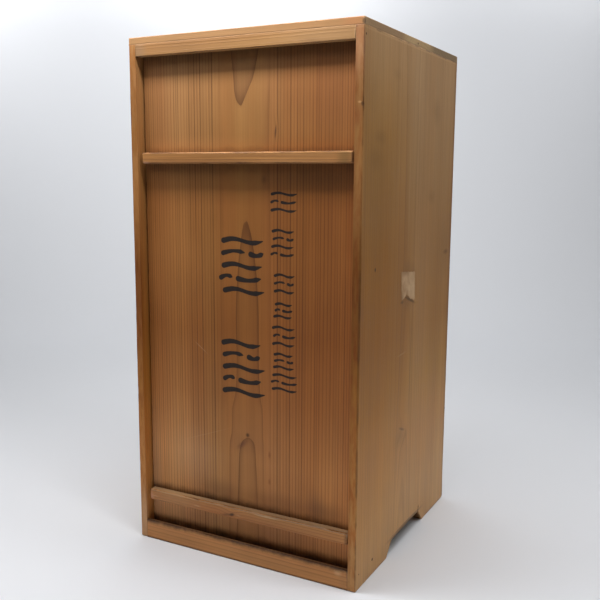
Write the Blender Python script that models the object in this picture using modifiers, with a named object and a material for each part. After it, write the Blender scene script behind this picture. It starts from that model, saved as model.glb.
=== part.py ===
"""Wooden storage case for a tiered food box, with a drop-in front lid.

Units are metres and +Z is up. The front, where the lid stands, faces -Y, and +X is
the case's right side as seen from the front. The origin is at the middle of the
underside. The lid lifts into the space behind the header, its foot swings out over
the sill, and it comes away: nothing hinges or slides.
"""
import math

import bmesh
import bpy
from mathutils import Matrix, Vector

# Whole case
CASE_WIDTH = 0.270
CASE_DEPTH = 0.277
CASE_HEIGHT = 0.554

# Boards of the carcass
SIDE_EDGE = 0.0085          # a side board's thickness at its front edge
REBATE_DEPTH = 0.0045       # cut into a side board's inner face, for the lid to stand in
TOP_THICKNESS = 0.007
BACK_THICKNESS = 0.0085
FLOOR_THICKNESS = 0.008
FLOOR_CLEARANCE = 0.0006    # from the top of the foot notches to the floor board

# Rails between the side boards, flush with the front
HEADER_HEIGHT = 0.0123
HEADER_THICKNESS = 0.0088
SILL_HEIGHT = 0.022
SILL_LIP = 0.003            # thickness of the lip in front of the lid's groove
SILL_LEDGE_HEIGHT = 0.014   # height of the groove's floor, which carries the lid

# Lid
LID_RECESS = 0.011          # from the front of the case to the lid's face
LID_THICKNESS = 0.008
LID_SIDE_CLEARANCE = 0.0015
LID_BACK_CLEARANCE = 0.0008
LID_LIFT_CLEARANCE = 0.0006

# Battens across the lid's face
BATTEN_SETBACK = 0.0015     # from the front of the case to a batten's face
BATTEN_LEFT_GAP = 0.004     # from a batten's left end to the side board
BATTEN_RIGHT_GAP = 0.0015
UPPER_BATTEN_HEIGHT = 0.0115
UPPER_BATTEN_DROP = 0.099   # from the header's lower edge to the batten
LOWER_BATTEN_HEIGHT = 0.0126
LOWER_BATTEN_RISE = 0.0248  # from the sill's upper edge to the batten
LOWER_BATTEN_TILT = math.radians(0.2)

# Foot notch in the lower edge of each side board
NOTCH_LENGTH = 0.086        # along its upper edge
NOTCH_HEIGHT = 0.016
NOTCH_CENTRE = 0.141        # from the front of the case
NOTCH_FRONT_SPLAY = 0.016
NOTCH_BACK_SPLAY = 0.0137
KERF_WIDTH = 0.0012         # overrun saw cut at the notch's back corner
KERF_HEIGHT = 0.0075

# Small measures
GAP = 0.0003                # between pieces that touch
ARRIS = 0.0006              # eased edges of the boards
CUTTER_MARGIN = 0.002       # how far a cutter stands out of what it cuts

# Places worked out from the sizes
FRONT = -CASE_DEPTH / 2
BACK = CASE_DEPTH / 2
HALF_WIDTH = CASE_WIDTH / 2
SIDE_THICKNESS = SIDE_EDGE + REBATE_DEPTH
REBATE_RUN = LID_RECESS + LID_THICKNESS + LID_BACK_CLEARANCE
DOORWAY_HALF = HALF_WIDTH - SIDE_EDGE
INSIDE_HALF = HALF_WIDTH - SIDE_THICKNESS
TOP_UNDERSIDE = CASE_HEIGHT - TOP_THICKNESS
CARCASS_TOP = TOP_UNDERSIDE - GAP
HEADER_UNDERSIDE = CARCASS_TOP - HEADER_HEIGHT
LID_FACE = FRONT + LID_RECESS
LID_LIFT = SILL_HEIGHT - SILL_LEDGE_HEIGHT + LID_LIFT_CLEARANCE
FLOOR_UNDERSIDE = NOTCH_HEIGHT + FLOOR_CLEARANCE


def linear_colour(hex_code):
    """Turn an sRGB hex colour into linear RGBA."""
    channels = [int(hex_code[i:i + 2], 16) / 255 for i in (0, 2, 4)]
    return [c / 12.92 if c <= 0.04045 else ((c + 0.055) / 1.055) ** 2.4 for c in channels] + [1.0]


def wood(name, hex_code, roughness):
    """A plain wood finish: colour and roughness, no metal."""
    material = bpy.data.materials.new(name)
    material.use_nodes = True
    shader = material.node_tree.nodes["Principled BSDF"]
    shader.inputs["Base Color"].default_value = linear_colour(hex_code)
    shader.inputs["Roughness"].default_value = roughness
    shader.inputs["Metallic"].default_value = 0.0
    material.diffuse_color = linear_colour(hex_code)
    return material


def new_collection(name):
    collection = bpy.data.collections.new(name)
    bpy.context.scene.collection.children.link(collection)
    return collection


def block_mesh(name, size):
    """A block of the given size, centred on its own origin."""
    mesh = bpy.data.meshes.new(name)
    block = bmesh.new()
    bmesh.ops.create_cube(block, size=1.0, matrix=Matrix.Diagonal((*size, 1.0)))
    block.to_mesh(mesh)
    block.free()
    return mesh


def place_block(name, low, high, collection):
    """A block between two corners, with its origin at its middle."""
    low, high = Vector(low), Vector(high)
    block = bpy.data.objects.new(name, block_mesh(name, high - low))
    block.location = (low + high) / 2
    collection.objects.link(block)
    return block


def as_cutter(obj):
    obj.hide_render = True
    obj.display_type = "WIRE"
    return obj


def cut(obj, cutter):
    modifier = obj.modifiers.new("cut " + cutter.name, "BOOLEAN")
    modifier.operation = "DIFFERENCE"
    modifier.solver = "EXACT"
    modifier.object = cutter


def ease_edges(obj, width=ARRIS):
    modifier = obj.modifiers.new("eased edges", "BEVEL")
    modifier.width = width
    modifier.segments = 1
    modifier.limit_method = "ANGLE"
    modifier.angle_limit = math.radians(30)


def board(name, low, high, material):
    """A straight board or strip between two corners."""
    piece = place_block(name, low, high, case)
    piece.data.materials.append(material)
    return piece


def extruded_outline(name, points, half_thickness, collection):
    """A prism over an outline in the YZ plane, thick along X, as a closed mesh."""
    curve = bpy.data.curves.new(name + " outline", "CURVE")
    curve.dimensions = "2D"
    curve.fill_mode = "BOTH"
    curve.extrude = half_thickness
    spline = curve.splines.new("POLY")
    spline.points.add(len(points) - 1)
    for point, (y, z) in zip(spline.points, points):
        point.co = (y, z, 0.0, 1.0)
    spline.use_cyclic_u = True
    outline = bpy.data.objects.new(name + " outline", curve)
    # Turns the flat outline's own X and Y axes to the case's Y and Z
    outline.matrix_world = Matrix(((0, 0, 1, 0), (1, 0, 0, 0), (0, 1, 0, 0), (0, 0, 0, 1)))
    collection.objects.link(outline)
    bpy.context.view_layer.update()
    evaluated = outline.evaluated_get(bpy.context.evaluated_depsgraph_get())
    mesh = bpy.data.meshes.new_from_object(evaluated)
    welded = bmesh.new()
    welded.from_mesh(mesh)
    bmesh.ops.remove_doubles(welded, verts=welded.verts, dist=GAP / 10)
    bmesh.ops.recalc_face_normals(welded, faces=welded.faces)
    welded.to_mesh(mesh)
    welded.free()
    prism = bpy.data.objects.new(name, mesh)
    prism.matrix_world = outline.matrix_world
    collection.objects.link(prism)
    bpy.data.objects.remove(outline)
    return prism


def notch_outline():
    """The foot notch with its overrun saw cut, as (y, z) points from the front."""
    front_top = FRONT + NOTCH_CENTRE - NOTCH_LENGTH / 2
    back_top = FRONT + NOTCH_CENTRE + NOTCH_LENGTH / 2
    below = -CUTTER_MARGIN
    front_slope = NOTCH_FRONT_SPLAY / NOTCH_HEIGHT
    back_slope = NOTCH_BACK_SPLAY / NOTCH_HEIGHT
    return [
        (front_top - front_slope * (NOTCH_HEIGHT - below), below),
        (back_top + back_slope * (NOTCH_HEIGHT - below), below),
        (back_top, NOTCH_HEIGHT),
        (back_top, NOTCH_HEIGHT + KERF_HEIGHT),
        (back_top - KERF_WIDTH, NOTCH_HEIGHT + KERF_HEIGHT),
        (back_top - KERF_WIDTH, NOTCH_HEIGHT),
        (front_top, NOTCH_HEIGHT),
    ]


def side_board(name, side, material):
    """A side board with its rebate and foot notch. Side is -1 on the left, 1 on the right."""
    across = sorted((side * HALF_WIDTH, side * INSIDE_HALF))
    piece = board(name, (across[0], FRONT, 0), (across[1], BACK, CARCASS_TOP), material)
    rebate_across = sorted((side * DOORWAY_HALF, side * (INSIDE_HALF - CUTTER_MARGIN)))
    rebate = as_cutter(place_block(
        name + "_rebate",
        (rebate_across[0], FRONT - CUTTER_MARGIN, -CUTTER_MARGIN),
        (rebate_across[1], FRONT + REBATE_RUN, CARCASS_TOP + CUTTER_MARGIN),
        cutters))
    notch = as_cutter(extruded_outline(
        name + "_notch", notch_outline(), SIDE_THICKNESS + CUTTER_MARGIN, cutters))
    notch.location.x = side * HALF_WIDTH
    ease_edges(piece)
    cut(piece, rebate)
    cut(piece, notch)
    return piece


def build_carcass():
    side_board("side_board_left", -1, side_wood)
    side_board("side_board_right", 1, side_wood)
    top = board(
        "top_board",
        (-HALF_WIDTH, FRONT, TOP_UNDERSIDE), (HALF_WIDTH, BACK, CASE_HEIGHT),
        top_wood)
    ease_edges(top)
    board(
        "back_board",
        (-INSIDE_HALF + GAP, BACK - BACK_THICKNESS, 0), (INSIDE_HALF - GAP, BACK, CARCASS_TOP),
        inner_wood)
    board(
        "floor_board",
        (-INSIDE_HALF + GAP, FRONT + REBATE_RUN, FLOOR_UNDERSIDE),
        (INSIDE_HALF - GAP, BACK - BACK_THICKNESS - GAP, FLOOR_UNDERSIDE + FLOOR_THICKNESS),
        inner_wood)


def build_rails():
    reach = DOORWAY_HALF - GAP
    header = board(
        "header_rail",
        (-reach, FRONT, HEADER_UNDERSIDE), (reach, FRONT + HEADER_THICKNESS, CARCASS_TOP),
        rail_wood)
    ease_edges(header)
    sill = board(
        "sill_rail",
        (-reach, FRONT, 0), (reach, FRONT + REBATE_RUN - GAP, SILL_HEIGHT),
        rail_wood)
    groove = as_cutter(place_block(
        "sill_rail_groove",
        (-reach - CUTTER_MARGIN, FRONT + SILL_LIP, SILL_LEDGE_HEIGHT),
        (reach + CUTTER_MARGIN, FRONT + REBATE_RUN + CUTTER_MARGIN, SILL_HEIGHT + CUTTER_MARGIN),
        cutters))
    ease_edges(sill)
    cut(sill, groove)


def batten(name, bottom, height, tilt):
    piece = board(
        name,
        (-DOORWAY_HALF + BATTEN_LEFT_GAP, FRONT + BATTEN_SETBACK, bottom),
        (DOORWAY_HALF - BATTEN_RIGHT_GAP, LID_FACE - GAP, bottom + height),
        rail_wood)
    piece.rotation_euler.y = -tilt
    ease_edges(piece, 2 * ARRIS)


def build_lid():
    reach = DOORWAY_HALF - LID_SIDE_CLEARANCE
    lid = board(
        "lid_panel",
        (-reach, LID_FACE, SILL_LEDGE_HEIGHT + GAP),
        (reach, LID_FACE + LID_THICKNESS, TOP_UNDERSIDE - LID_LIFT),
        lid_wood)
    ease_edges(lid)
    upper_bottom = HEADER_UNDERSIDE - UPPER_BATTEN_DROP - UPPER_BATTEN_HEIGHT
    batten("upper_batten", upper_bottom, UPPER_BATTEN_HEIGHT, 0.0)
    lower_bottom = SILL_HEIGHT + LOWER_BATTEN_RISE
    batten("lower_batten", lower_bottom, LOWER_BATTEN_HEIGHT, LOWER_BATTEN_TILT)


for leftover in list(bpy.data.objects):
    bpy.data.objects.remove(leftover)

case = new_collection("storage_case")
cutters = new_collection("cutters")

side_wood = wood("aged cedar, side boards", "8F7047", 0.62)
top_wood = wood("aged cedar, top board", "A88352", 0.60)
rail_wood = wood("aged cedar, rails and battens", "A0703F", 0.58)
lid_wood = wood("aged cedar, lid", "92643A", 0.58)
inner_wood = wood("cedar, back and floor", "97764C", 0.66)

build_carcass()
build_rails()
build_lid()
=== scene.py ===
"""Looks of the wooden storage case: worn cedar boards, brush marks, a paper remnant, nails and the studio.

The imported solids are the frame. Each board is a copy of its solid with rounded, worn arrises, and it has a
cedar of its own, cut from a trunk whose growth rings are worked out in millimetres. Shapes are in metres,
and the numbers of grain, marks and tones along a board are in mm.
"""

import math
import random
from functools import partial

import bmesh
import bpy
import numpy as np
from mathutils import Matrix, Vector, noise


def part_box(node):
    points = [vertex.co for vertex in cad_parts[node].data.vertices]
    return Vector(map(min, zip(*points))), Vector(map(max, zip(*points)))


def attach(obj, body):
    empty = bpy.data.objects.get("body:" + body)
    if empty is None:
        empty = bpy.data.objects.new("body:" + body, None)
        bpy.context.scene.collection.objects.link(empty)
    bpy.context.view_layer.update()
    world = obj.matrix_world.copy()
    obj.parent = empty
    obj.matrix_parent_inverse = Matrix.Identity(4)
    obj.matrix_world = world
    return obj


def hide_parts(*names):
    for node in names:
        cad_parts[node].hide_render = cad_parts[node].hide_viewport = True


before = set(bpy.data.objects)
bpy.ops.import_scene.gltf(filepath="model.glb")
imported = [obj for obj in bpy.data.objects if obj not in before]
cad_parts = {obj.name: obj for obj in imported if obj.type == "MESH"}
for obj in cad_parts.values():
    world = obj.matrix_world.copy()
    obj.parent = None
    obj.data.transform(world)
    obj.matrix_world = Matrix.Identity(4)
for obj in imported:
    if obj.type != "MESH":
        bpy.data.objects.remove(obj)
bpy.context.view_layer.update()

MM = 0.001

# Camera, solved from the case's outline in the photograph
CAMERA_PLACE = (0.43249, -0.81899, 0.41233)
CAMERA_YAW = math.radians(27.9893)
CAMERA_PITCH = math.radians(8.8920)
CAMERA_ROLL = math.radians(0.3286)
CAMERA_LENS = 47.708  # mm, on a sensor this wide
CAMERA_SENSOR = 36.0

# Worn arrises
ARRIS = 0.6 * MM  # the solids' eased edges
SLICE = 2.0 * MM  # along a board, so that an arris can wear unevenly
TIGHT = 0.05  # of its round, what an arris keeps in a nailed joint
JOINT_PUSH = 0.27 * MM  # leaves a hairline of the gap between two solids
LOWER_BATTEN_TILT = math.radians(0.2)  # its right end sits higher
FLAT = 0.9999  # faces this square to an axis are shaded flat, the rounds between them smooth

# Wood, in mm
LENGTH = 560.0  # the curves and tones along an upright board run over this length
LID_WIDTH = 250.0
ARRIS_WEAR = 1.6  # how far from an arris its dirt reaches, on average
EVER = 1.0e5  # a mark this large has no end in that axis
SOFT = 0.9  # how softly a mark ends, of its size, where it doesn't say
NOTCH_TOP = 16.0  # the upper edge of the foot notches, as in the solids

# Brush marks, in the lid's plane
INK_SIDES = (-0.034, 0.066)
INK_LEVELS = (0.176, 0.251, 0.326, 0.401)  # nearly square fields, one above the other
INK_CUTS = 119  # of each side of a field, for a mesh finer than the strokes
FAR_FROM_INK = 9.0  # mm, for the wood outside the fields

# The setting that picks what a node of these kinds does
CHOICES = {"Math": "operation", "VectorMath": "operation", "Mix": "data_type"}
SMOOTH = {"interpolation_type": "SMOOTHSTEP"}  # a map range that eases in and out


def linear(hex_code):
    """Turn an sRGB hex colour into linear RGBA."""
    channels = [int(hex_code[i:i + 2], 16) / 255 for i in (0, 2, 4)]
    return [c / 12.92 if c <= 0.04045 else ((c + 0.055) / 1.055) ** 2.4 for c in channels] + [1.0]


def first_output(item):
    """A node stands for its first output that is in use."""
    if isinstance(item, bpy.types.Node):
        return next(socket for socket in item.outputs if socket.enabled)
    return item


def add_node(tree, kind, *values, named=None, points=None, stops=None, handle="AUTO", **settings):
    """Add a node of a kind and link it.

    Values go to its inputs in order: a number is set, a hex colour is set as linear, a node or socket is
    linked, and None leaves the input alone. The first value of a kind in CHOICES is its choice, and named
    inputs go by their names. Settings are the node's properties. Points shape a float curve with a handle,
    and stops are (place, hex colour) pairs of a colour ramp.
    """
    node = tree.nodes.new("ShaderNode" + kind)
    if kind in CHOICES:
        setattr(node, CHOICES[kind], values[0])
        values = values[1:]
    for name, value in settings.items():
        setattr(node, name, value)
    inputs = list(zip([socket for socket in node.inputs if socket.enabled], values))
    inputs += [(node.inputs[name], value) for name, value in (named or {}).items()]
    for socket, value in inputs:
        value = first_output(value)
        if isinstance(value, bpy.types.NodeSocket):
            tree.links.new(value, socket)
        elif value is not None:
            socket.default_value = linear(value) if isinstance(value, str) else value
    if points:
        curve = node.mapping.curves[0]
        for place, height in points[1:-1]:
            curve.points.new(place, height)
        for point, location in zip(curve.points, points):
            point.location = location
            point.handle_type = handle
        node.mapping.update()
    if stops:
        while len(node.color_ramp.elements) < len(stops):
            node.color_ramp.elements.new(1.0)
        for element, (place, colour) in zip(node.color_ramp.elements, stops):
            element.position = place
            element.color = linear(colour)
    return node


def new_material(name):
    """An empty material, and a short way to add nodes to it."""
    material = bpy.data.materials.new(name)
    material.use_nodes = True
    material.node_tree.nodes.clear()
    return material, partial(add_node, material.node_tree)


def in_millimetres(add):
    """Texture coordinates, and the place in the object in mm."""
    position = add("TexCoord")
    return position, add("VectorMath", "MULTIPLY", position.outputs["Object"], (1 / MM,) * 3)


def finish_material(material, add, colour, roughness, height, relief, specular=0.35):
    """Principled shader with bump. Relief is the bump's depth in metres."""
    bump = add("Bump", named={"Height": height, "Distance": relief})
    shader = add("BsdfPrincipled", named={
        "Base Color": colour, "Roughness": roughness, "Specular IOR Level": specular, "Normal": bump})
    add("OutputMaterial", shader)
    return material


def drawn_out(add, place, order, across_mm, along_mm, detail, gain):
    """Noise drawn out along the grain, by its sizes in mm, its levels of detail and their gain."""
    scale = [0.0, 0.0, 0.0]
    for axis, size in zip(order, (across_mm, across_mm, along_mm)):
        scale["XYZ".index(axis)] = 1 / size
    return add("TexNoise", add("Mapping", place, None, None, scale), 1.0, detail, gain)


def curve_along(add, along, span, points, handle="AUTO", length=LENGTH):
    """A value that follows a length. Points are (mm along, value), and span is the lowest and highest."""
    low, high = span
    share = add("Math", "DIVIDE", along, length)
    curve = add("FloatCurve", None, share, handle=handle, points=[
        (mm / length, (value - low) / (high - low)) for mm, value in points])
    return add("MapRange", curve, 0.0, 1.0, low, high)


def spot(add, place, centre, size, edge, turn=(0.0, 0.0, 0.0)):
    """A soft oval mask, 1 inside, from its centre and its half sizes in mm."""
    local = add("Mapping", place, centre, turn, size, vector_type="TEXTURE")
    distance = add("VectorMath", "LENGTH", local).outputs["Value"]
    return add("MapRange", distance, 1.0 - edge, 1.0 + edge, 1.0, 0.0, **SMOOTH)


def paint_marks(add, place, colour, face, marks, layer=(0.0, EVER)):
    """Lay soft ovals of a tone over a colour, in the face that two axes name.

    A mark is its middle and its half sizes in mm along the two axes, its tone and share, and where needed
    its softness and its turn in radians. Layer is the middle and the half depth, in mm, of the wood.
    """
    first, second = ("XYZ".index(axis) for axis in face)
    third = 3 - first - second
    for across, up, wide, tall, tone, share, *more in marks:
        edge, turn = more + [SOFT, 0.0][len(more):]
        centre, size, angles = [layer[0]] * 3, [layer[1]] * 3, [0.0] * 3
        centre[first], centre[second] = across, up
        size[first], size[second] = wide, tall
        angles[third] = turn
        mask = add("Math", "MULTIPLY", spot(add, place, centre, size, edge, angles), share)
        colour = add("Mix", "RGBA", mask, colour, tone)
    return colour


def arris_mask(add, place, low, high):
    """1 on the board's arrises, falling to 0 within ARRIS_WEAR of them, in places and not everywhere."""
    from_centre = add("VectorMath", "SUBTRACT", place, (low + high) / 2 / MM)
    folded = add("VectorMath", "ABSOLUTE", from_centre)
    inward = add("VectorMath", "SUBTRACT", (high - low) / 2 / MM, folded)
    split = add("SeparateXYZ", inward)
    x, y, z = (split.outputs[axis] for axis in "XYZ")

    # The second smallest of the three distances to a face is the distance to the nearest arris
    nearer = add("Math", "MINIMUM", x, y)
    farther = add("Math", "MAXIMUM", x, y)
    second = add("Math", "MAXIMUM", nearer, add("Math", "MINIMUM", farther, z))
    ragged = add("TexNoise", place, 0.035, 3.0, 0.6)
    reach = add("MapRange", ragged, 0.42, 0.66, 0.25 * ARRIS_WEAR, 1.6 * ARRIS_WEAR)
    share = add("Math", "DIVIDE", second, reach)
    near = add("MapRange", share, 0.2, 1.0, 1.0, 0.0, **SMOOTH)
    return add("Math", "MULTIPLY", near, add("MapRange", ragged, 0.40, 0.60, 0.35, 1.0))


def trunk_distance(add, place, order, trunk, shifted):
    """Distance in mm from the trunk's centre line, which bends, wanders a little and swerves at knots."""
    split = add("SeparateXYZ", place)
    across, depth, along = (split.outputs[axis] for axis in order)
    sideways = add("Math", "SUBTRACT", across, trunk["centre"])
    start = -trunk["inward"] * trunk["face"] - trunk["depth"]
    inwards = add("Math", "MULTIPLY_ADD", depth, trunk["inward"], start)
    if "sway" in trunk:
        # The centre line bends near the middle only, so the rings farther out run straight
        middle = add("MapRange", add("Math", "ABSOLUTE", sideways), 14.0, 34.0, 1.0, 0.0, **SMOOTH)
        sway, rise = (add("Math", "MULTIPLY", curve_along(add, along, (-20.0, 20.0), trunk[bend]), middle)
                      for bend in ("sway", "rise"))
        sideways = add("Math", "SUBTRACT", sideways, sway)
        inwards = add("Math", "ADD", inwards, rise)
    from_heart = add("CombineXYZ", sideways, inwards, 0.0)
    radius = add("VectorMath", "LENGTH", from_heart).outputs["Value"]
    wander = drawn_out(add, shifted, order, 60.0, 320.0, 2.0, 0.45)
    tremble = drawn_out(add, shifted, order, 7.0, 70.0, 1.0, 0.5)
    for pattern, reach in ((wander, trunk["wander"]), (tremble, trunk["tremble"])):
        offset = add("Math", "MULTIPLY_ADD", pattern, reach, -reach / 2)
        radius = add("Math", "ADD", offset, radius)
    for knot, reach, push in trunk.get("knots", ()):
        swerve = spot(add, place, knot, reach, 0.99)
        radius = add("Math", "MULTIPLY_ADD", swerve, push, radius)
    return radius, sideways, along


def ring_lines(add, count, sideways, shifted, order, trunk, tones):
    """How far each place is late wood, from 0 to about 1, and a tone of its own for each ring.

    In a paired trunk every other ring is weak. The rings round the heart, which lie nearly flat in the
    face, show as thin outlines.
    """
    number = add("Math", "FLOOR", count)
    late = add("ValToRGB", add("Math", "FRACT", count), stops=(
        (0.0, "A0A0A0"), (0.07, "202020"), (0.36, "1C1C1C"),
        (0.7, "7C7C7C"), (0.86, "FFFFFF"), (1.0, "F4F4F4")))
    strength = add("TexWhiteNoise", number, noise_dimensions="1D")
    strength = add("MapRange", strength, 0.0, 1.0, 0.45, 1.0)
    parity = add("Math", "FLOORED_MODULO", number, 2.0)
    parity = add("Math", "MULTIPLY_ADD", parity, -trunk.get("paired", 0.0), 1.0)
    strength = add("Math", "MULTIPLY", strength, parity)
    if "heart" in tones:
        flat_ring = add("Math", "LESS_THAN", count, 1.0)
        outline = add("Math", "POWER", add("Math", "FRACT", count), 9.0)
        late = add("Mix", "FLOAT", flat_ring, late, outline)
        thin = add("MapRange", count, -0.01, 0.01, 0.8, 0.45)
        strength = add("Mix", "FLOAT", flat_ring, strength, thin)
    fading = add("MapRange", drawn_out(add, shifted, order, 9.0, 150.0, 1.0, 0.5), 0.3, 0.7, 0.7, 1.1)
    sided = add("MapRange", sideways, -18.0, 30.0, *trunk.get("lines", (1.0, 1.0)))
    for factor in (strength, fading, sided):
        late = add("Math", "MULTIPLY", late, factor)
    ring_tone = add("TexWhiteNoise", add("Math", "ADD", number, 0.37), noise_dimensions="1D")
    return late, add("MapRange", ring_tone, 0.0, 1.0, 0.94, 1.05)


def cedar(name, node, order, trunk, tones, contrast, seed, marks=None, grime=0.5, inked=False):
    """Aged cedar: pale early wood that darkens to a thin, hard line of late wood in each growth ring.

    Order gives the axes across the grain, into the board and along the grain. The trunk says where its
    centre lies in those axes, from the face and in mm, and where its rings are. Tones are hex colours.
    """
    material, add = new_material(name)
    position, place = in_millimetres(add)
    shifted = add("VectorMath", "ADD", place, (seed * 91.7, seed * 57.3, seed * 173.9))
    radius, sideways, along = trunk_distance(add, place, order, trunk, shifted)
    rings = trunk["rings"]
    if isinstance(rings, list):
        count = curve_along(add, radius, (-20.0, 40.0), rings, "VECTOR", rings[-1][0])
    else:
        uneven = add("TexNoise", radius, 0.13, 1.0, 0.5, noise_dimensions="1D")
        even = add("Math", "MULTIPLY", radius, 1 / rings)
        count = add("Math", "MULTIPLY_ADD", uneven, 1.6, even)
    late, ring_tone = ring_lines(add, count, sideways, shifted, order, trunk, tones)

    # Fibres, broad streaks, fine reeds, handling marks and slow changes of tone, in mm across and along
    fibre, streak, reed, blotch, tint = (drawn_out(add, shifted, order, *sizes) for sizes in (
        (0.7, 34.0, 3.0, 0.65), (6.0, 260.0, 2.0, 0.55), (1.7, 420.0, 2.0, 0.6), (38.0, 80.0, 3.0, 0.55),
        (30.0, 420.0, 2.0, 0.5)))
    tint = add("MapRange", tint, 0.36, 0.64)
    colour = add("Mix", "RGBA", tint, tones["early"], tones["warm"])
    if "heart" in tones:
        inner = add("MapRange", count, 0.02, -0.02)
        inner = add("Math", "MULTIPLY", inner, curve_along(add, along, (0.0, 1.0), trunk["heart"]))
        colour = add("Mix", "RGBA", inner, colour, tones["heart"])
    lines = add("Math", "MULTIPLY", late, 0.85 * contrast)
    colour = add("Mix", "RGBA", lines, colour, tones["late"])
    shade = add("Math", "MULTIPLY_ADD", fibre, 0.24, 0.88)
    for pattern, kind, usual in (
            (blotch, "blotchy", 0.36), (streak, "streaky", 0.25), (reed, "reedy", 0.12)):
        depth = tones.get(kind, usual)
        factor = add("Math", "MULTIPLY_ADD", pattern, depth, 1 - depth / 2)
        shade = add("Math", "MULTIPLY", shade, factor)
    shade = add("Math", "MULTIPLY", shade, ring_tone)

    # End grain drinks in dirt, and a board's narrow edge or inner face has a tone of its own
    normal = add("SeparateXYZ", position.outputs["Normal"])
    facing_end = add("Math", "ABSOLUTE", normal.outputs[order[2]])
    facing_end = add("MapRange", facing_end, 0.5, 0.9, 1.0, tones["end"])
    shade = add("Math", "MULTIPLY", shade, facing_end)
    colour = add("VectorMath", "MULTIPLY", colour, add("CombineXYZ", shade, shade, shade))
    if "patina" in tones:
        age = add("ValToRGB", add("Math", "MULTIPLY", along, 1 / LENGTH),
                  stops=[(mm / LENGTH, tone) for mm, tone in tones["patina"]])
        colour = add("Mix", "RGBA", 1.0, colour, age, blend_type="MULTIPLY")
    if "edge" in tones:
        facing_edge = add("Math", "ABSOLUTE", normal.outputs[order[0]])
        mask = add("MapRange", facing_edge, 0.5, 0.9)
        rubbed = add("MapRange", drawn_out(add, shifted, order, 4.5, 22.0, 3.0, 0.6), 0.40, 0.62)
        edge = add("Mix", "RGBA", rubbed, tones["edge"][0], tones["edge"][1])
        colour = add("Mix", "RGBA", mask, colour, edge, blend_type="MULTIPLY")
    if "inside" in tones:
        facing_in = add("Math", "MULTIPLY", normal.outputs[order[1]], trunk["inward"])
        mask = add("MapRange", facing_in, 0.5, 0.9)
        colour = add("Mix", "RGBA", mask, colour, tones["inside"], blend_type="MULTIPLY")
    worn = add("Math", "MULTIPLY", arris_mask(add, place, *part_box(node)), grime)
    colour = add("Mix", "RGBA", worn, colour, tones["grime"])
    rough = add("Math", "MULTIPLY_ADD", blotch, 0.16, 0.47)
    height = add("Math", "ADD", late, add("Math", "MULTIPLY", fibre, 0.8))
    if marks:
        colour = marks(add, place, colour)
    if inked:
        colour, rough = brush_ink(add, place, colour, rough)
    return finish_material(material, add, colour, rough, height, 0.12 * MM)


# The trunk that the lid was sawn from: its rings run straight up both sides, and near the middle its centre
# line comes close to the face at the head and at the foot, which draws a flame and two arches
LID_TRUNK = {
    "face": -127.5, "inward": 1.0, "centre": 0.5, "depth": 48.2, "wander": 0.5, "tremble": 0.3,
    "paired": 0.45, "lines": (1.0, 0.95),
    "sway": [(0, 2.5), (82, 2.4), (123, 2.4), (138, 3.6), (180, 3.2), (284, 2.5), (366, 1.7), (430, -3.5),
             (481, -4.6), (512, -0.5), (560, 2.0)],
    "rise": [(0, 6.0), (82, 4.85), (106, 4.55), (123, 4.25), (132, 3.8), (138, 3.1), (165, 2.4), (184, 0.7),
             (284, 0.0), (366, -1.8), (430, -3.2), (481, -1.8), (512, -0.2), (560, 2.2)],
    "rings": [(0, -11), (45.0, -1), (50, 0), (57, 1), (62, 3), (66.6, 5), (77.7, 9), (88.6, 13), (95.1, 15),
              (99.5, 17), (107, 19), (113.7, 21), (129.3, 27), (144.4, 33)],
    "heart": [(0, 0.06), (115, 0.06), (130, 0.2), (145, 0.12), (335, 0.12), (355, 0.3), (440, 0.3),
              (478, 0.35), (520, 0.2), (560, 0.1)],
    "knots": [((23.1, -127.5, 407.9), (3.5, 40.0, 9.0), 1.2),
              ((36.7, -127.5, 454.6), (2.5, 40.0, 11.0), -1.2)]}

# Quarter-sawn wood for the rails, and the trunk of the right side with its one knot. The others are cut from
# the same trunks at other places
RAIL_TRUNK = {"centre": 460.0, "depth": 30.0, "face": -138.5, "inward": 1.0, "rings": 3.6, "wander": 4.0,
              "tremble": 0.5}
SIDE_TRUNK = {"centre": -12.0, "depth": 46.0, "face": 135.0, "inward": -1.0, "rings": 3.4, "wander": 3.0,
              "tremble": 0.4,
              "sway": [(0, -3.0), (110, 0.0), (280, 3.0), (560, 1.0)],
              "rise": [(0, 6.0), (110, 2.5), (200, 0.0), (380, -2.5), (560, -1.0)],
              "knots": [((135.0, -18.6, 135.3), (40.0, 9.0, 14.0), 3.0)]}
TOP_TRUNK = {"centre": 18.0, "depth": 60.0, "face": 554.0, "inward": -1.0, "rings": 4.0, "wander": 6.0,
             "tremble": 0.5}
PLAIN_TRUNK = dict(SIDE_TRUNK, knots=[], face=-135.0, inward=1.0, centre=14.0)

# Age and handling colour the boards' middle more deeply than their ends: tones that multiply the wood's own,
# by height, and for the lid also by the distance from its middle
FRONT_PATINA = [(0, "FFFFFF"), (45, "FFFFFF"), (66, "F4F2EA"), (110, "FDFDFF"), (180, "E1D3BD"),
                (250, "CEBB98"), (330, "D5C8B2"), (385, "C9BCA6"), (450, "D6DAD8"), (520, "D6DAE2")]
SIDE_PATINA = [(0, "FFFFFB"), (60, "FFFCF4"), (120, "F6EAD2"), (187, "E0D4A4"), (245, "CFBF95"),
               (357, "CDC6B8"), (420, "CFD0D0"), (520, "D2D9E8")]
LID_ACROSS = [(-125, "FFFFFF"), (-75, "FBFBFB"), (-45, "F0F0E9"), (-22, "EBE8D8"), (15, "EBE7D7"),
              (30, "EDE4DA"), (50, "F2E5D2"), (80, "F0E1C8"), (125, "F0E1CC")]

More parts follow.
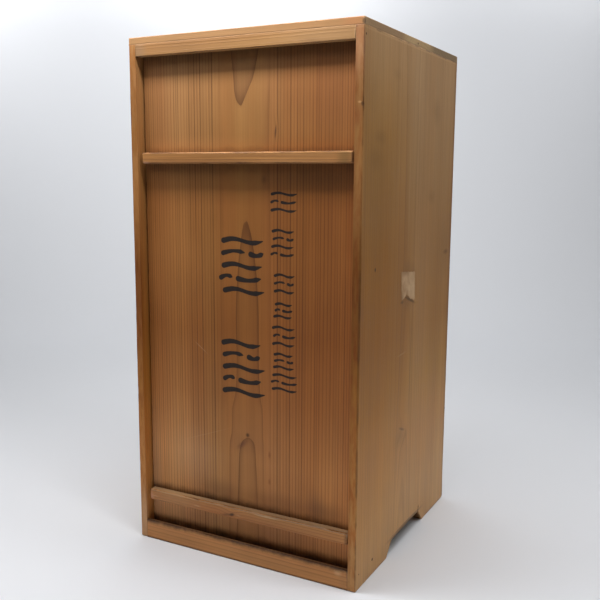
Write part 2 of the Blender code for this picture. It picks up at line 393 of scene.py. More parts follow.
LID_TONES = {"early": "D6985B", "late": "74451F", "warm": "CB8A50", "heart": "93604A", "grime": "3E2818",
             "end": 0.5, "patina": FRONT_PATINA, "streaky": 0.20, "blotchy": 0.32, "reedy": 0.34}
SIDE_TONES = {"early": "D2A26C", "late": "986E44", "warm": "CA9862", "grime": "3A281A", "end": 0.55,
              "edge": ("FFF8EC", "E8C496"), "patina": SIDE_PATINA, "streaky": 0.12, "blotchy": 0.22,
              "reedy": 0.08}
LEFT_TONES = dict(SIDE_TONES, edge=("FFEACA", "E2C088"), inside="FFEACC")
RAIL_TONES = {"early": "A87C4A", "late": "7F5534", "warm": "9E6F40", "grime": "4A2F1C", "end": 0.5}
BATTEN_TONES = {"early": "BA8249", "late": "84542E", "warm": "AD733D", "grime": "4A2F1C", "end": 0.5}
LOW_TONES = {"early": "C78A50", "late": "8B562A", "warm": "B7733D", "grime": "3E2A1C", "end": 0.5}
TOP_TONES = {"early": "B08557", "late": "82583A", "warm": "A6784A", "grime": "4A3220", "end": 0.9}
HIDDEN_TONES = {"early": "B08A5C", "late": "7E5B39", "warm": "A07A4E", "grime": "4A3220", "end": 0.6}


def lid_marks(add, place, colour):
    """Tones across the width, small knots, pin marks, scuffs, a scratch, and painted shade with some dirt
    under each ledge, above the lower batten and at the foot.
    """
    split = add("SeparateXYZ", place)
    across = add("Math", "MULTIPLY_ADD", split.outputs["X"], 1 / LID_WIDTH, 0.5)
    across = add("ValToRGB", across, stops=[(0.5 + mm / LID_WIDTH, tone) for mm, tone in LID_ACROSS])
    colour = add("Mix", "RGBA", 1.0, colour, across, blend_type="MULTIPLY")
    # The near-black marks at 408 and 527 are painted shadow under the upper batten and the header; the dark
    # marks at 71 to 76 just above the lower batten and at 34 over the sill are painted shade with some dirt
    colour = paint_marks(add, place, colour, "XZ", (
        (-103, 475, 19, 50, "7A4A28", 0.2), (90, 488, 32, 34, "8A4E28", 0.27),
        (-55, 442, 60, 7, "E4A464", 0.12), (-70, 333, 45, 50, "D69850", 0.12),
        (95, 342, 36, 60, "6E3E1C", 0.1), (-68, 105, 22, 24, "E0AC7C", 0.26),
        (38, 71, 34, 9, "52280C", 0.28), (97, 71, 17, 10, "4A2812", 0.34),
        (30, 34, 85, 13, "52300F", 0.2), (-98, 34, 26, 14, "A8845C", 0.16),
        (85, 408, 60, 9, "2A1A10", 0.26), (95, 527, 45, 8, "2A1A10", 0.2), (0, 62, 52, 72, "6A3E1E", 0.2),
        (-122, 70, 8, 60, "B89878", 0.3), (23.1, 407.9, 2.2, 3.2, "5A3A20", 0.3),
        (3, 139.6, 1.9, 2, "38200F", 0.75, 0.7), (-3.5, 128.5, 6.5, 2.2, "6A3E2C", 0.5, 0.9, -0.68),
        (29.8, 122.1, 1.2, 3, "7A3A1C", 0.5), (29.7, 92.6, 1.2, 2.6, "7A3A1C", 0.45),
        (36.7, 454.6, 0.9, 5.5, "4A2E20", 0.7, 0.7, 0.1),
        (-55.5, 228.7, 8, 0.5, "D0A478", 0.3, 0.8, 0.64),
        (-54.8, 130.7, 30.5, 0.35, "C89C70", 0.25, 0.6, -0.352), (84, 76, 9, 14, "4A3020", 0.28),
        (-32, 71, 18, 10, "562C10", 0.36)))
    # Painted shade with some dirt, by height and with a ragged edge: at the foot behind the sill, just above
    # the lower batten, under and just above the upper batten, and under the header
    ragged = add("TexNoise", place, 0.09, 3.0, 0.6)
    level = add("Math", "ADD", split.outputs["Z"], add("Math", "MULTIPLY_ADD", ragged, 9.0, -4.5))
    shade_and_dirt = curve_along(add, level, (0.0, 1.0), (
        (0, 0.93), (19, 0.93), (29, 0.0), (50, 0.0), (51, 0.72), (59, 0.72), (67, 0.0), (404, 0.0),
        (413, 0.12), (424, 0.5), (426, 0.0), (436, 0.35), (441, 0.0), (520, 0.0), (533, 0.5), (560, 0.5)),
        "VECTOR")
    return add("Mix", "RGBA", shade_and_dirt, colour, "22160E")


def brush_ink(add, place, colour, rough):
    """Greyed ink soaked into the wood, matt, with a bristly edge, by the distance to the nearest stroke."""
    distance = add("Attribute", attribute_name="ink_distance").outputs["Fac"]
    bristle = drawn_out(add, place, "ZYX", 0.5, 5.0, 2.0, 0.6)
    edge = add("Math", "ADD", distance, add("Math", "MULTIPLY_ADD", bristle, 0.8, -0.40))
    wet = add("MapRange", edge, -0.3, 0.3, 1.0, 0.0, **SMOOTH)
    ink = add("Mix", "RGBA", bristle, "0E0C0B", "2A2523")
    colour = add("Mix", "RGBA", add("Math", "MULTIPLY", wet, 0.97), colour, ink)
    return colour, add("Math", "ADD", add("Math", "MULTIPLY", wet, 0.12), rough)


def side_marks(add, place, colour):
    """Browner wood to the front, a knot and its stain, glue round the paper remnant and a painted shadow
    under its torn foot, rubbed places, specks, painted shade along the top of the notch and on its rear
    slope, and marks on the front edge."""
    split = add("SeparateXYZ", place)
    browner = add("MapRange", split.outputs["Y"], 30.0, -90.0, **SMOOTH)
    by_height = curve_along(add, split.outputs["Z"], (0.0, 1.0), (
        (0, 0.2), (35, 0.35), (72, 0.58), (112, 0.65), (148, 0.7), (177, 1.0), (332, 1.0), (372, 0.72),
        (452, 0.82), (495, 0.55), (534, 0.25), (560, 0.2)), "VECTOR")
    browner = add("Math", "MULTIPLY", browner, by_height)
    colour = add("Mix", "RGBA", browner, colour, "EFDDA2", blend_type="MULTIPLY")
    colour = paint_marks(add, place, colour, "YZ", (
        (30, 255, 22, 110, "D8B080", 0.12), (112, 328, 20, 24, "6A4A2C", 0.16),
        (118, 322, 7, 2.4, "5A320E", 0.55), (69, 484, 10, 11, "624220", 0.2),
        (59, 389, 10, 6, "624220", 0.2), (-55, 512, 8, 5, "624220", 0.15),
        # Painted shade: the band along the top of the notch and the near-black line on its rear slope.
        # Painted shadow: the dark line at 279 under the paper's torn foot
        (-108, 428, 13, 9, "624220", 0.22), (2.5, NOTCH_TOP + 1.4, 46, 2.4, "4A3A24", 0.62, 0.5),
        (-46, 9, 10.5, 1.2, "5A4830", 0.35, 0.8, 1.05), (44.5, 19.5, 4.4, 0.5, "20140C", 0.9, 0.5, 0.95),
        (-3, 278.9, 14, 1.4, "3A2616", 0.7, 0.7, -0.32), (-27, 279, 4, 1.4, "4A3220", 0.5, 0.7),
        (-18, 136, 7.5, 1.3, "4A2C10", 0.5, 0.7, -0.35), (-22, 126, 16, 9, "70643E", 0.2, 0.9, 0.1),
        (3.7, 208.7, 0.9, 64, "6A4A2C", 0.4, 0.7, -0.04), (-103, 321.6, 1.4, 1.9, "2A1404", 0.9, 0.5),
        (-24, 221.8, 10, 0.7, "C8A880", 0.25, 0.8, 0.05), (-12.5, 402, 1.2, 57, "B89468", 0.3, 0.8),
        (-96, 385, 34, 50, "624220", 0.14), (-96, 449, 12, 5.5, "624220", 0.24),
        (-132, 330, 0.8, 180, "6A4A2C", 0.25, 0.8), (15, 420, 0.8, 90, "6A4A2C", 0.32, 0.8),
        (-4, 440, 0.6, 80, "6A4A2C", 0.25, 0.8), (22.5, 400, 0.6, 110, "6A4A2C", 0.22, 0.8),
        (21, 200, 0.7, 48, "6A4A2C", 0.26, 0.8), (27, 205, 0.7, 52, "6A4A2C", 0.26, 0.8),
        (33.5, 195, 0.7, 42, "6A4A2C", 0.22, 0.8), (-10, 296, 25, 24, "6C4E30", 0.25, 0.35),
        (137.5, 300, 5.5, 300, "7A4A20", 0.62), (0, 544.6, 140, 0.9, "C8A47A", 0.35, 0.8)))
    # Painted shade on the notch's rear slope, within the board's thickness
    colour = paint_marks(add, place, colour, "YZ", ((52, 8, 9, 11, "482A16", 0.75, 0.4),), (128, 5.5))
    colour = paint_marks(add, place, colour, "XZ", (
        (131, 292, 9, 60, "6A3810", 0.3), (131, 415, 9, 48, "DC9C60", 0.26),
        (131, 172, 9, 40, "D6944C", 0.22), (131, 10, 9, 30, "7A4A24", 0.18),
        (131, 505, 9, 42, "8A5020", 0.28)), (-138.5, 3))
    return paint_marks(add, place, colour, "XZ", (
        (131.2, 479, 1.5, 0.9, "E0B078", 0.55, 0.7), (134, 477.5, 1.4, 1.8, "4A2C14", 0.7, 0.6),
        (129.5, 466, 3, 8, "8A4420", 0.35, 0.9, 0.15), (126.8, 545.6, 0.8, 0.8, "3A2414", 0.8, 0.5),
        (128, 530, 7, 22, "DCA078", 0.25), (134, 265, 1.1, 120, "6A4416", 0.5, 0.7)), (-138.5, 2))


def left_marks(add, place, colour):
    """A darker stretch where hands have held the front edge, and a paler foot."""
    return paint_marks(add, place, colour, "XZ", (
        (-131, 285, 9, 50, "743404", 0.5), (-131, 200, 9, 40, "9A5410", 0.16),
        (-131, 395, 9, 45, "E8A462", 0.2), (-131, 510, 9, 30, "8A4E20", 0.22),
        (-131, 20, 9, 30, "C8A07C", 0.5)), (-138.5, 3))


def top_marks(add, place, colour):
    """End grain that is darker at both corners than in the middle, and a bruised front corner."""
    colour = paint_marks(add, place, colour, "XY", (
        (135, 0, 1.5, EVER, "BDAD85", 0.4, 0.2), (135, -88, 1.5, 50, "86684C", 0.66, 0.25),
        (135, 93, 1.5, 47, "6A5844", 0.66, 0.25), (-135, 40, 1.5, 90, "5A4026", 0.7, 0.3),
        (40, 30, 60, 45, "7A5C3A", 0.3)))
    colour = paint_marks(add, place, colour, "XY", ((125, -138.5, 11, 2, "C08050", 0.45, 0.8),), (550, 8))
    return paint_marks(add, place, colour, "XY", ((134.6, -138.2, 2, 2, "4A3218", 0.75, 0.5),), (549.6, 2.6))


def header_marks(add, place, colour):
    """A greyish rubbed end, faint darker patches and a pale bruise at the right end."""
    return paint_marks(add, place, colour, "XZ", (
        (-122, 540, 7, 9, "8C7258", 0.5), (-70, 540, 40, 12, "7E5C3A", 0.3),
        (82, 536, 9, 2.5, "7A5430", 0.3, 0.9, 0.1), (100, 541, 40, 12, "C09A70", 0.25),
        (125.6, 541, 0.7, 6, "D0A478", 0.6, 0.6)))


def sill_marks(add, place, colour):
    """A lighter spot and a grey-brown band at the right end, and darkening along its top and along the
    floor, painted shade with some dirt.
    """
    z = add("SeparateXYZ", place).outputs["Z"]
    # The dark line along the floor, at 0, is painted shade with some dirt
    colour = paint_marks(add, place, colour, "XZ", (
        (115.5, 16.5, 3.5, 2.6, "D8AC7C", 0.6, 0.8), (122, 9, 4, 9, "8A6848", 0.2),
        (10, 10, 50, 12, "D09860", 0.16), (0, 0, EVER, 1.5, "3A281A", 0.6, 0.6)))
    # Darker towards the top, with a ragged edge: painted shade under the lower batten, with some dirt
    ragged = add("TexNoise", place, 0.12, 3.0, 0.6)
    level = add("Math", "ADD", z, add("Math", "MULTIPLY_ADD", ragged, 5.0, -2.5))
    shade_and_dirt = add("MapRange", level, 17.5, 21.5, 0.0, 0.8)
    return add("Mix", "RGBA", shade_and_dirt, colour, "2C1D12")


def upper_marks(add, place, colour):
    """The right end is darker with handling, and both ends are bruised."""
    return paint_marks(add, place, colour, "XZ", (
        (116, 429, 6, 9, "6A5428", 0.5, 0.8), (124.5, 429, 1.6, 9, "4E3018", 0.6, 0.5),
        (-117.5, 425, 4.5, 1.2, "D09C7C", 0.6, 0.7), (-75, 430, 65, 12, "6E4420", 0.2),
        (75, 430, 45, 12, "D09C64", 0.16), (-60, 430, 60, 0.8, "7A4E2A", 0.35, 0.9, -0.01),
        (40, 431, 60, 1, "8A5C34", 0.4, 0.9, 0.02)))


def lower_marks(add, place, colour):
    """A knot and its streak, pale splinters, darker ends with painted shade at the right end's joint, and a
    top face grey with dust.
    """
    upward = add("SeparateXYZ", add("TexCoord").outputs["Normal"]).outputs["Z"]
    dusty = add("MapRange", upward, 0.35, 0.9, 0.0, 0.8)
    colour = add("Mix", "RGBA", dusty, colour, "7E6A50")
    return paint_marks(add, place, colour, "XZ", (
        (-11.7, 51, 2.8, 1.5, "34190C", 0.9, 0.6, -0.35), (-17.5, 49.8, 7, 1.2, "5E3A22", 0.6, 0.9, -0.2),
        (32, 57.2, 13.5, 0.7, "D8B488", 0.8, 0.5), (-57, 51.5, 4, 0.6, "D0A478", 0.6, 0.7, 0.03),
        (-3.5, 51.5, 3, 0.5, "D0A478", 0.5, 0.7), (-114.5, 51.5, 3.5, 0.6, "D0A478", 0.5, 0.7),
        (-120, 50, 3, 4, "CC9478", 0.5, 0.8), (-85, 52, 30, 12, "C09866", 0.35),
        # The dark mark at 124 is painted shade where the right end meets the side board
        (40, 52, 70, 12, "6E4A2C", 0.25), (124, 53, 2.2, 9, "5A3C24", 0.5, 0.8)))


def merged_copy(node):
    """A copy of a node's mesh with its loose triangles merged into whole faces."""
    copy = bmesh.new()
    copy.from_mesh(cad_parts[node].data)
    bmesh.ops.remove_doubles(copy, verts=copy.verts, dist=0.01 * MM)
    bmesh.ops.dissolve_limit(copy, angle_limit=math.radians(1), verts=copy.verts, edges=copy.edges)
    return copy


def round_off(board, edges, offset, segments):
    """Give edges a small round."""
    bmesh.ops.bevel(board, geom=edges, offset=offset, offset_type="OFFSET", affect="EDGES",
                    segments=segments, profile=0.5, material=-1, clamp_overlap=True)


def round_arrises(board, eased):
    """Turn each eased edge, which is one flat in the solid, into a small round."""
    sharp = [edge for edge in board.edges if math.radians(30) < edge.calc_face_angle(0) < math.radians(60)]
    round_off(board, sharp, eased / 4, 1)


def slice_board(board, axis, places):
    """Cut a board's faces across an axis at each place, so that its arrises can be worked."""
    normal = [0.0, 0.0, 0.0]
    normal[axis] = 1.0
    for place in places:
        point = [0.0, 0.0, 0.0]
        point[axis] = place
        bmesh.ops.bisect_plane(board, geom=board.verts[:] + board.edges[:] + board.faces[:],
                               dist=0.001 * MM, plane_co=point, plane_no=normal)


def blunt_corners(board, low, high, corners):
    """Knock off a side board's corners at its foot, given as (0 front or 1 rear, size)."""
    for end, size in corners:
        corner = Vector((0.0, (low, high)[end].y, low.z))
        near = [vertex for vertex in board.verts if max(map(abs, (vertex.co - corner).yz)) < 1.01 * ARRIS]
        for vertex in near:
            vertex.co.yz = corner.yz + (vertex.co.yz - corner.yz) * size / ARRIS
        across = [edge for edge in board.edges if all(vertex in near for vertex in edge.verts)
                  and abs(edge.verts[0].co.x - edge.verts[1].co.x) > 5 * ARRIS]
        round_off(board, across, 0.3 * size, 2)


def wear_at(along, seed, chips):
    """How far an arris is worn back at a place along it, as a multiple of its eased radius."""
    worn = 1.0 + 0.55 * noise.noise((along * 28, seed, 0.0)) + 0.25 * noise.noise((along * 90, seed, 3.0))
    worn += 1.6 * max(0.0, noise.noise((along * 60, seed, 7.0)) - 0.33) / 0.67
    for place, reach, depth in chips:
        worn += depth * max(0.0, 1 - ((along - place) / reach) ** 2)
    return max(0.45, worn)


def wear_arrises(points, low, high, seed, eased=ARRIS, chips=None, levels=None):
    """Slide the points of each arris towards or away from its corner line.

    An arris goes by its axis and by the low or high end, 0 or 1, of the other two axes. Chips are (place,
    reach, depth) along it, and levels say how much more or less than the others it is worn.
    """
    for axis in range(3):
        pair = [other for other in range(3) if other != axis]
        for i, j in ((0, 0), (0, 1), (1, 0), (1, 1)):
            corner = np.array(((low, high)[i][pair[0]], (low, high)[j][pair[1]]))
            near = (abs(points[:, pair] - corner) < 1.01 * eased).all(axis=1)
            here = (chips or {}).get((axis, i, j), ())
            level = (levels or {}).get((axis, i, j), 1.0)
            number = seed + 10 * axis + 3 * i + j
            worn = [level * wear_at(along, number * 7.3, here) for along in points[near, axis]]
            arris = np.ix_(near, pair)
            points[arris] = corner + (points[arris] - corner) * np.reshape(worn, (-1, 1))


def close_joints(points, low, high, ends):
    """Move a board's ends, given as (axis, 0 or 1), up to the boards they are nailed to."""
    for axis, end in ends:
        face = (low, high)[end][axis]
        near = abs(points[:, axis] - face) < JOINT_PUSH
        points[near, axis] += JOINT_PUSH * (2 * end - 1)


def mesh_points(mesh):
    flat = np.zeros(len(mesh.vertices) * 3, np.float32)
    mesh.vertices.foreach_get("co", flat)
    return flat.reshape(-1, 3)


def set_points(mesh, points):
    mesh.vertices.foreach_set("co", points.astype(np.float32).ravel())
    mesh.update()


def finish_piece(name, board, material, node=None):
    """Turn a bmesh into a piece that stands for its node."""
    mesh = bpy.data.meshes.new(name)
    board.to_mesh(mesh)
    board.free()
    mesh.materials.append(material)
    for face in mesh.polygons:
        face.use_smooth = max(abs(part) for part in face.normal) < FLAT
    piece = bpy.data.objects.new(name, mesh)
    bpy.context.scene.collection.objects.link(piece)
    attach(piece, "root")
    if node:
        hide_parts(node)
    return piece


def worn_board(name, node, wood, order, trunk, tones, contrast, seed, marks=None, grime=0.5,
               chips=None, levels=None, ends=(), eased=ARRIS, tilt=0.0, blunt=()):
    """A board in a cedar of its own, with rounded arrises that are worn unevenly along its length. Tilt is
    how far it is turned about Y."""
    material = cedar("aged cedar, " + wood, node, order, trunk, tones, contrast, seed, marks, grime)
    length_axis = "XYZ".index(order[2])
    low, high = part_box(node)
    board = merged_copy(node)
    blunt_corners(board, low, high, blunt)
    upright = Matrix.Rotation(tilt, 3, "Y")
    middle = (low + high) / 2
    bmesh.ops.rotate(board, verts=board.verts, cent=middle, matrix=upright)
    low, high = ([end(vertex.co[axis] for vertex in board.verts) for axis in range(3)] for end in (min, max))
    round_arrises(board, eased)
    count = int((high[length_axis] - low[length_axis]) / SLICE)
    slice_board(board, length_axis, np.linspace(low[length_axis], high[length_axis], count + 1)[1:-1])
    piece = finish_piece(name, board, material, node)
    points = mesh_points(piece.data)
    wear_arrises(points, low, high, seed, eased, chips, levels)
    close_joints(points, low, high, ends)
    points = (points - np.array(middle)) @ np.array(upright) + np.array(middle)
    set_points(piece.data, points)


def stroke_distance(x, z, stroke):
    """Distance in mm from the edge of a brush stroke, below zero inside it. The brush is pressed down at the
    start and lifts to a narrow end."""
    start_x, start_z, end_x, end_z, arch, wave, width = stroke
    nearest = np.full(x.shape, FAR_FROM_INK)
    for t in np.linspace(0.0, 1.0, 49):
        centre_x = start_x + (end_x - start_x) * t
        centre_z = start_z + (end_z - start_z) * t
        centre_z += arch * math.sin(math.pi * t) + wave * math.sin(2 * math.pi * t)
        radius = width / 2 * (0.80 + 0.32 * math.cos(math.pi * t) ** 2) * min(1.0, 0.2 + (1 - t) * 4.0)
        nearest = np.minimum(nearest, np.hypot(x - centre_x, z - centre_z) - radius)
    return nearest


def ripples(centre_x, top, wide, tall, rows, width, dice):
    """Rows of long waved strokes, every other one parted, laid like ripples on water."""
    strokes = []
    pitch = tall / rows
    for row in range(rows):
        height = top - pitch * (row + 0.5)
        reach = wide * dice.uniform(0.86, 1.0)
        left = centre_x - reach / 2 + dice.uniform(-0.05, 0.05) * wide
        right = left + reach
        wave = 0.15 * pitch
        if row % 2 == 0:
            strokes.append((left, height, right, height + 0.06 * pitch, 0.0, wave, width))
            continue
        parting = left + reach * dice.choice((0.36, 0.62))
        end = height + 0.1 * pitch
        strokes.append((left, height, parting - 0.7 * width, end, wave, 0.0, 0.9 * width))
        strokes.append((parting + 0.7 * width, height, right, end, -wave, 0.0, width))
    return strokes


def brush_strokes():
    """A right-hand column of seven small groups and a left-hand column of two large ones, in mm."""
    dice = random.Random(8)
    strokes = []
    for group in ((45.5, 398.0, 32.0, 24.0, 3, 2.7), (46.0, 361.0, 26.0, 31.0, 4, 2.7),
                  (47.0, 316.5, 23.0, 24.0, 3, 2.7), (46.0, 286.5, 21.0, 19.0, 3, 2.7),
                  (46.5, 263.0, 26.0, 25.0, 3, 2.7), (46.0, 234.5, 24.0, 20.0, 3, 2.7),
                  (48.5, 213.0, 30.0, 22.0, 3, 2.7), (-2.5, 352.0, 52.0, 65.0, 5, 5.2),
                  (-2.5, 244.0, 50.0, 65.0, 5, 5.2)):
        strokes += ripples(*group, dice)
    return strokes


def lid_panel():
    """The lid, with a finer mesh in the fields that take the ink."""
    low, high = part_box("lid_panel")
    board = merged_copy("lid_panel")
    round_arrises(board, ARRIS)
    slice_board(board, 0, INK_SIDES)
    slice_board(board, 2, INK_LEVELS)
    fields = []
    for face in board.faces:
        middle = face.calc_center_median()
        if (face.normal.y < -FLAT and INK_SIDES[0] < middle.x < INK_SIDES[1]
                and INK_LEVELS[0] < middle.z < INK_LEVELS[-1]):
            fields.append(face)
    sides = list({edge for face in fields for edge in face.edges})
    bmesh.ops.subdivide_edges(board, edges=sides, cuts=INK_CUTS, use_grid_fill=True)

    # Flat-sawn cedar, planed: orange-brown, with hard dark lines, arches where the heart comes near the
    # face, and a dull satin that hands have given it
    material = cedar("aged cedar, flat sawn, lid", "lid_panel", "XYZ", LID_TRUNK, LID_TONES, 1.15, 0,
                     lid_marks, inked=True)
    piece = finish_piece("lid", board, material, "lid_panel")
    points = mesh_points(piece.data)
    wear_arrises(points, low, high, 40)
    set_points(piece.data, points)
    field = abs(points[:, 1] - low.y) < 0.01 * MM
    x, z = points[field, 0] / MM, points[field, 2] / MM
    distance = np.full(len(points), FAR_FROM_INK)
    distance[field] = np.minimum.reduce([stroke_distance(x, z, stroke) for stroke in brush_strokes()])
    attribute = piece.data.attributes.new("ink_distance", "FLOAT", "POINT")
    attribute.data.foreach_set("value", distance.astype(np.float32))


def ragged_line(along, row):
    """How far a torn or cut edge strays at a place along it, about -1 to 1."""
    return noise.noise((along, row, 0.0))


def paper_remnant():
    """What is left of a paper label on the right side, torn off at its foot. Its sizes are in mm."""
    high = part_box("side_board_right")[1]
    paper = bmesh.new()
    bmesh.ops.create_grid(paper, x_segments=60, y_segments=48, size=0.5)
    for vertex in paper.verts:
        u, v = vertex.co.x + 0.5, vertex.co.y + 0.5
        foot = 281.0 + 1.2 * ragged_line(u * 6.0, 3.0) + 0.9 * ragged_line(u * 19.0, 5.0)
        foot += 5.0 * max(0.0, 1 - abs(u - 0.35) / 0.30) - 4.0 * max(0.0, 2 * u - 1)
        head = 312.3 - 4.0 * u + 1.1 * ragged_line(u * 9.0, 8.0) + 0.7 * ragged_line(u * 31.0, 9.0)
        near = -31.0 + 2.5 * (1 - v) + 0.5 * ragged_line(v * 8.0, 2.0)
        far = 10.0 + 2.3 * (1 - v) + 0.7 * ragged_line(v * 8.0, 4.0)
        lift = 0.05 + 0.05 * noise.noise((u * 4.0, v * 4.0, 6.0))
        vertex.co = (high.x + lift * MM, (near + (far - near) * u) * MM, (foot + (head - foot) * v) * MM)
    bmesh.ops.recalc_face_normals(paper, faces=paper.faces)
    bmesh.ops.solidify(paper, geom=paper.faces[:], thickness=0.08 * MM)

    # Handmade paper, brown with age: long soft fibres, matt, with old glue and dirt at its edges
    material, add = new_material("old handmade paper")
    place = in_millimetres(add)[1]
    fibres = drawn_out(add, place, "YXZ", 2.5, 12.0, 4.0, 0.65)
    stain = add("MapRange", add("TexNoise", place, 0.09, 3.0, 0.6), 0.35, 0.65)
    colour = add("Mix", "RGBA", stain, "C4A07A", "AC8660")
    pale = add("MapRange", fibres, 0.4, 0.7, 0.0, 0.4)
    colour = add("Mix", "RGBA", pale, colour, "CCAE88")
    colour = paint_marks(add, place, colour, "YZ", (
        (-28, 283, 5, 5, "8A6A48", 0.5), (-22, 311, 16, 3.5, "8A6846", 0.5),
        (4, 291, 9, 15, "DCBC94", 0.35)))
    finish_material(material, add, colour, 0.8, fibres, 0.06 * MM, 0.2)
    finish_piece("paper_remnant", paper, material)


def nail_heads():
    """Small nail heads, a little sunk, in both sides: (y, z, radius) in mm."""
    # Rusted iron: dark brown, matt and pitted, with paler rust in patches
    material, add = new_material("rusted iron nail")
    rust = add("TexNoise", in_millimetres(add)[1], 1.4, 4.0, 0.65)
    patches = add("MapRange", rust, 0.4, 0.6)
    colour = add("Mix", "RGBA", patches, "3A2412", "644024")
    finish_material(material, add, colour, 0.75, rust, 0.05 * MM, 0.4)
    heads = bmesh.new()
    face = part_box("side_board_right")[1].x
    for side in (-1, 1):
        for y, z, radius in (
                (1.0, 549.5, 1.4), (-134.8, 539.0, 1.3), (-95.4, 16.8, 1.9), (-130.0, 16.0, 1.0),
                (135.5, 120.0, 1.4), (135.5, 300.0, 1.4), (135.5, 470.0, 1.4)):
            place = (side * (face - 0.1 * MM), y * MM, z * MM)
            turn = Matrix.Translation(place) @ Matrix.Rotation(side * math.radians(90), 4, "Y")
            bmesh.ops.create_cone(heads, cap_ends=True, segments=16, radius1=radius * MM,
                                  radius2=0.8 * radius * MM, depth=0.3 * MM, matrix=turn)
    finish_piece("nail_heads", heads, material)


def build_case():
    """Each board in a cedar of its own, then the lid, the paper and the nails."""
    # Planed sides: straight faint grain, browner and duller at hand height, matt, with a rubbed front edge
    worn_board("side_right", "side_board_right", "right side", "YXZ", SIDE_TRUNK, SIDE_TONES,
               0.42, 1, side_marks, ends=((2, 1),), levels={(0, 0, 1): TIGHT, (1, 1, 1): TIGHT},
               chips={(2, 1, 0): ((0.478, 0.004, 2.2), (0.12, 0.005, 0.8), (0.33, 0.008, 0.8))},
               blunt=((0, 1.2 * MM), (1, 2.6 * MM)))
    worn_board("side_left", "side_board_left", "left side", "YXZ", PLAIN_TRUNK, LEFT_TONES,
               0.45, 2, left_marks, ends=((2, 1),), levels={(0, 0, 1): TIGHT, (1, 0, 1): TIGHT},
               chips={(2, 0, 0): ((0.4, 0.012, 1.4), (0.3, 0.006, 1.4), (0.04, 0.008, 1.3),
                                  (0.0, 0.004, 4.0))},
               blunt=((0, 1.4 * MM), (1, 2.0 * MM)))

    # The top: paler above, with open end grain that has turned dark at the sides
    worn_board("top", "top_board", "top board", "YZX", TOP_TRUNK, TOP_TONES, 0.7, 3,
               top_marks, 0.12,
               chips={(1, 1, 1): ((0.02, 0.003, 1.5),), (2, 1, 0): ((0.550, 0.002, 2.0),)},
               levels={(0, 0, 0): TIGHT, (1, 0, 0): TIGHT, (1, 1, 0): TIGHT})

    # Unfinished back and floor: greyer, with plainer grain
    worn_board("back", "back_board", "back", "XYZ",
               dict(PLAIN_TRUNK, face=138.5, inward=-1.0, centre=-15.0), HIDDEN_TONES, 0.8, 4)
    worn_board("floor", "floor_board", "floor", "YZX",
               dict(TOP_TRUNK, centre=0.0, depth=40.0, face=24.6, wander=5.0), HIDDEN_TONES, 0.8, 5)

    # Rails and battens: quarter-sawn strips with fine straight lines, darkened and rounded by handling
    worn_board("header", "header_rail", "header", "ZYX", dict(RAIL_TRUNK, wander=1.5), RAIL_TONES,
               0.32, 6, header_marks, 0.12, ends=((2, 1), (0, 0), (0, 1)),
               levels={(0, 0, 1): TIGHT, (2, 0, 0): TIGHT, (2, 1, 0): TIGHT})
    worn_board("sill", "sill_rail", "sill", "ZYX", dict(RAIL_TRUNK, centre=-60.0), LOW_TONES,
               0.7, 7, sill_marks, ends=((0, 1),),
               levels={(2, 0, 0): TIGHT, (2, 1, 0): TIGHT, (0, 0, 1): 2.2})
    worn_board("upper_strip", "upper_batten", "upper batten", "ZYX",
               dict(RAIL_TRUNK, centre=350.0, rings=2.6), BATTEN_TONES, 0.8, 8, upper_marks, 0.7,
               levels={(0, 0, 1): 0.6}, eased=2 * ARRIS)
    worn_board("lower_strip", "lower_batten", "lower batten", "ZYX",
               dict(RAIL_TRUNK, centre=-10.0, rings=3.0,
                    knots=[((-11.7, -137.0, 51.0), (10.0, 40.0, 6.0), 3.0)]),
               LOW_TONES, 0.9, 9, lower_marks, levels={(0, 0, 1): 1.7, (2, 0, 0): 1.8, (1, 0, 0): 1.8},
               eased=2 * ARRIS, tilt=LOWER_BATTEN_TILT)
    lid_panel()
    paper_remnant()
    nail_heads()


# Studio, in metres
FLOOR_SIDE = 3.0  # the floor reaches this far to each side of the case
FLOOR_FRONT = 1.05  # and this far in front, where its light ends
WALL_DISTANCE = 1.9
WALL_HEIGHT = 3.0
SWEEP_RADIUS = 0.9
SWEEP_STEPS = 24


def from_camera(right, back, up):
    """A place given from the case's middle as the camera sees it: to the right, farther back and up."""
    return Matrix.Rotation(CAMERA_YAW, 3, "Z") @ Vector((right, back, up))


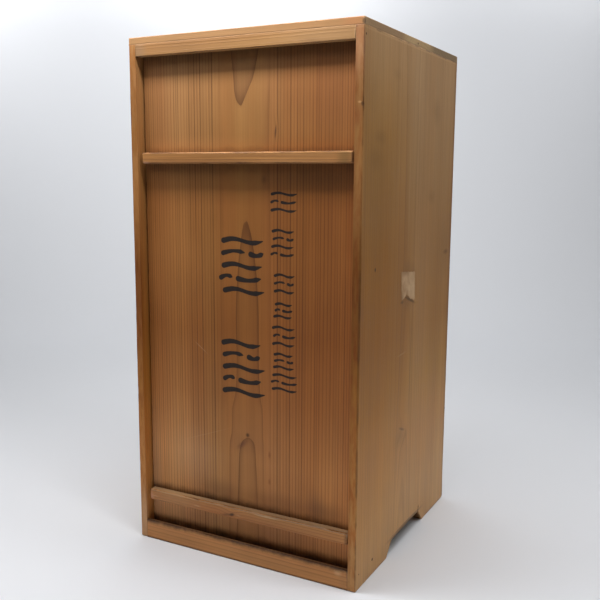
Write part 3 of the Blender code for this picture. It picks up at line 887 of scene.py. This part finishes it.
def build_backdrop():
    """A pale floor that sweeps up into a wall, square to the camera's view."""
    sweep = bmesh.new()
    profile = [(-FLOOR_FRONT, 0.0)]
    for step in range(SWEEP_STEPS + 1):
        angle = math.radians(90 * step / SWEEP_STEPS)
        profile.append((WALL_DISTANCE - SWEEP_RADIUS + SWEEP_RADIUS * math.sin(angle),
                        SWEEP_RADIUS * (1 - math.cos(angle))))
    profile.append((WALL_DISTANCE, WALL_HEIGHT))
    points = [sweep.verts.new((-FLOOR_SIDE, y, z)) for y, z in profile]
    edges = [sweep.edges.new(pair) for pair in zip(points, points[1:])]
    extruded = bmesh.ops.extrude_edge_only(sweep, edges=edges)["geom"]
    bmesh.ops.translate(sweep, verts=[v for v in extruded if isinstance(v, bmesh.types.BMVert)],
                        vec=(2 * FLOOR_SIDE, 0, 0))
    bmesh.ops.recalc_face_normals(sweep, faces=sweep.faces)
    bmesh.ops.rotate(sweep, verts=sweep.verts, cent=(0, 0, 0), matrix=Matrix.Rotation(CAMERA_YAW, 3, "Z"))
    mesh = bpy.data.meshes.new("backdrop")
    sweep.to_mesh(mesh)
    sweep.free()
    mesh.shade_smooth()
    backdrop = bpy.data.objects.new("backdrop", mesh)
    bpy.context.scene.collection.objects.link(backdrop)

    # Background paper: nearly white, faintly cool and matt, so that it shows soft shadows and no gloss
    material, add = new_material("matt studio paper")
    shader = add("BsdfPrincipled", named={
        "Base Color": "E3E5E9", "Roughness": 0.85, "Specular IOR Level": 0.2})
    add("OutputMaterial", shader)
    mesh.materials.append(material)


def softbox(name, place, target, size, power):
    """A rectangular area light that faces its target."""
    data = bpy.data.lights.new(name, "AREA")
    data.shape = "RECTANGLE"
    data.size, data.size_y = size
    data.energy = power
    lamp = bpy.data.objects.new(name, data)
    lamp.location = place
    lamp.rotation_euler = (Vector(target) - Vector(place)).to_track_quat("-Z", "Y").to_euler()
    bpy.context.scene.collection.objects.link(lamp)


def build_studio():
    """A strip light close over the front, softer ones above, to the sides and low in front, and six for the
    wall. The air gives hardly any light, but it looks pale where the floor ends."""
    build_backdrop()
    softbox("front strip", (-0.055, -0.220, 0.72), (-0.055, -0.142, 0.0), (0.49, 0.045), 1.95)
    softbox("ceiling", (0.0, 0.1, 1.3), (0.0, 0.1, 0.0), (0.9, 0.9), 7.39)
    softbox("left", from_camera(-0.7, -0.2, 0.95), from_camera(-0.7, -0.2, 0.0), (0.5, 0.5), 3.3)
    softbox("right", (0.60, 0.0, 1.0), (0.45, 0.0, 0.0), (0.2, 0.7), 3.95)
    softbox("low fill", from_camera(0.15, -1.25, 0.40), (0.0, -0.1, 0.15), (0.9, 0.5), 0.53)
    for name, place, target, size, power in (
            ("wall left", (-1.0, 1.2, 1.9), (-1.0, 1.9, 1.05), (0.6, 0.6), 2.36),
            ("wall right", (0.8, 1.2, 1.9), (0.8, 1.9, 1.05), (0.6, 0.6), 8.0),
            ("wall top", (-0.35, 1.45, 1.40), (-0.35, 1.95, 0.95), (0.35, 0.35), 4.1),
            ("low wall left", (-1.2, 1.45, 1.2), (-1.2, 1.9, 0.9), (0.5, 0.25), 3.49),
            ("low wall right", (1.0, 1.45, 1.2), (1.0, 1.9, 0.9), (0.5, 0.25), 1.03),
            ("low wall middle", (0.0, 1.55, 1.4), (0.0, 1.9, 0.95), (0.5, 0.25), 3.05)):
        softbox(name, from_camera(*place), from_camera(*target), size, power)
    world = bpy.data.worlds.new("studio air")
    world.use_nodes = True
    tree = world.node_tree
    tree.nodes.clear()
    seen = add_node(tree, "LightPath").outputs["Is Camera Ray"]
    dim = add_node(tree, "Background", "EEF1F5", 0.01)
    pale = add_node(tree, "Background", "C4C6CB", 1.0)
    add_node(tree, "OutputWorld", add_node(tree, "MixShader", seen, dim, pale))
    bpy.context.scene.world = world


def build_camera():
    """The photograph's viewpoint and angle of view."""
    data = bpy.data.cameras.new("camera")
    data.lens = CAMERA_LENS
    data.sensor_width = CAMERA_SENSOR
    data.sensor_fit = "HORIZONTAL"
    camera = bpy.data.objects.new("camera", data)
    turn = (Matrix.Rotation(CAMERA_YAW, 4, "Z")
            @ Matrix.Rotation(math.radians(90) - CAMERA_PITCH, 4, "X")
            @ Matrix.Rotation(CAMERA_ROLL, 4, "Z"))
    camera.matrix_world = Matrix.Translation(CAMERA_PLACE) @ turn
    bpy.context.scene.collection.objects.link(camera)
    bpy.context.scene.camera = camera


build_camera()
build_studio()
build_case()
bpy.context.scene.view_settings.view_transform = "Standard"
